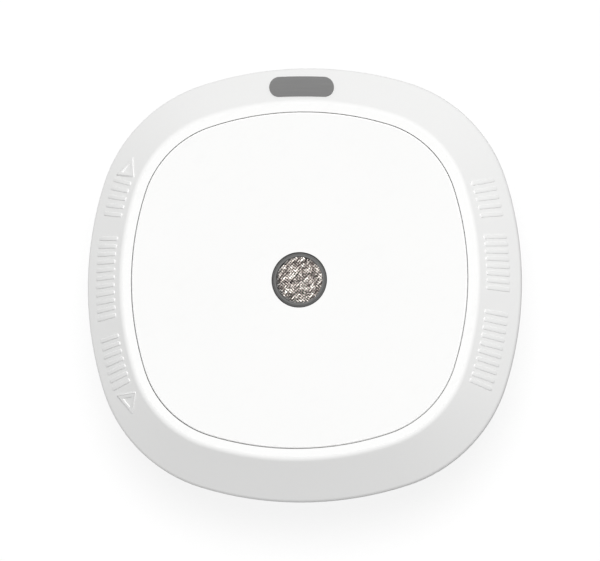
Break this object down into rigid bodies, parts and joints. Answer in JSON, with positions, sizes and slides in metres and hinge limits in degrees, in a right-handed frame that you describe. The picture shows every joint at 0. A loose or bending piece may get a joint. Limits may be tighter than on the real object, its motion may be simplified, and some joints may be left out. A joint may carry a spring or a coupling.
{
  "type": "smoke detector",
  "caption": "Rounded square ceiling smoke detector with a flat push-to-test front plate, side vents and a round bayonet mounting base.",
  "frame": {"origin": "centre of the mounting base's ceiling face", "axes": "+Z out of the face into the room, +Y the top of the face, +X to its right; the part lies on its mounting base"},
  "size_m": [0.115, 0.115, 0.0436],
  "materials": {
    "white_plastic": "satin moulded",
    "dark_plastic": "matte",
    "black_plastic": "matte",
    "steel": "plain",
    "spring_steel": "plain",
    "brass": "plain",
    "board": "varnished",
    "clear": "clear",
    "cell_sleeve": "smooth",
    "aluminium": "plain",
    "ceramic": "smooth"
  },
  "bodies": {
    "base": {"mounting_base": "white_plastic"},
    "button": {"front_plate": "white_plastic"},
    "test_cap": {"test_switch_cap": "dark_plastic"},
    "plunger": {"tamper_plunger": "white_plastic", "tamper_switch_cap": "dark_plastic"},
    "head": {"rear_housing": "white_plastic", "front_cover": "white_plastic", "button_springs": "spring_steel", "sensor_nose": "dark_plastic", "sensor_mesh": "steel", "light_guide": "clear", "status_led": "clear", "thermistor": "ceramic", "main_board": "board", "chamber_base": "black_plastic", "chamber_cover": "black_plastic", "insect_screen": "steel", "infrared_emitter": "clear", "photodiode": "ceramic", "sounder_housing": "black_plastic", "sounder_disc": "brass", "test_switch": "black_plastic", "tamper_switch": "black_plastic", "radio_module": "steel", "antenna": "spring_steel", "controller_chip": "ceramic", "buffer_capacitor": "aluminium", "battery_left": "cell_sleeve", "battery_right": "cell_sleeve", "contact_plates": "spring_steel", "contact_springs": "spring_steel", "board_screws": "steel", "housing_screws": "steel"}
  },
  "joints": [
    {"name": "twist", "type": "hinge", "parent": "base", "child": "head", "pos_m": [0, 0, 0], "axis": [0, 0, 1], "range_deg": [0, 18]},
    {"name": "button_press", "type": "slide", "parent": "head", "child": "button", "axis": [0, 0, -1], "range_m": [0, 0.0005], "stiffness_N_per_m": 2000, "springref_m": -0.001, "deforming": ["button_springs"]},
    {"name": "test_cap_press", "type": "slide", "parent": "head", "child": "test_cap", "axis": [0, 0, -1], "range_m": [0, 0.0005]},
    {"name": "plunger_drop", "type": "slide", "parent": "head", "child": "plunger", "axis": [0, 0, -1], "range_m": [0, 0.0005]}
  ],
  "couplings": [
    {"joint": "test_cap_press", "follows": "button_press", "ratio": 1},
    {"joint": "plunger_drop", "follows": "twist", "m_per_rad": 0.0015914}
  ]
}
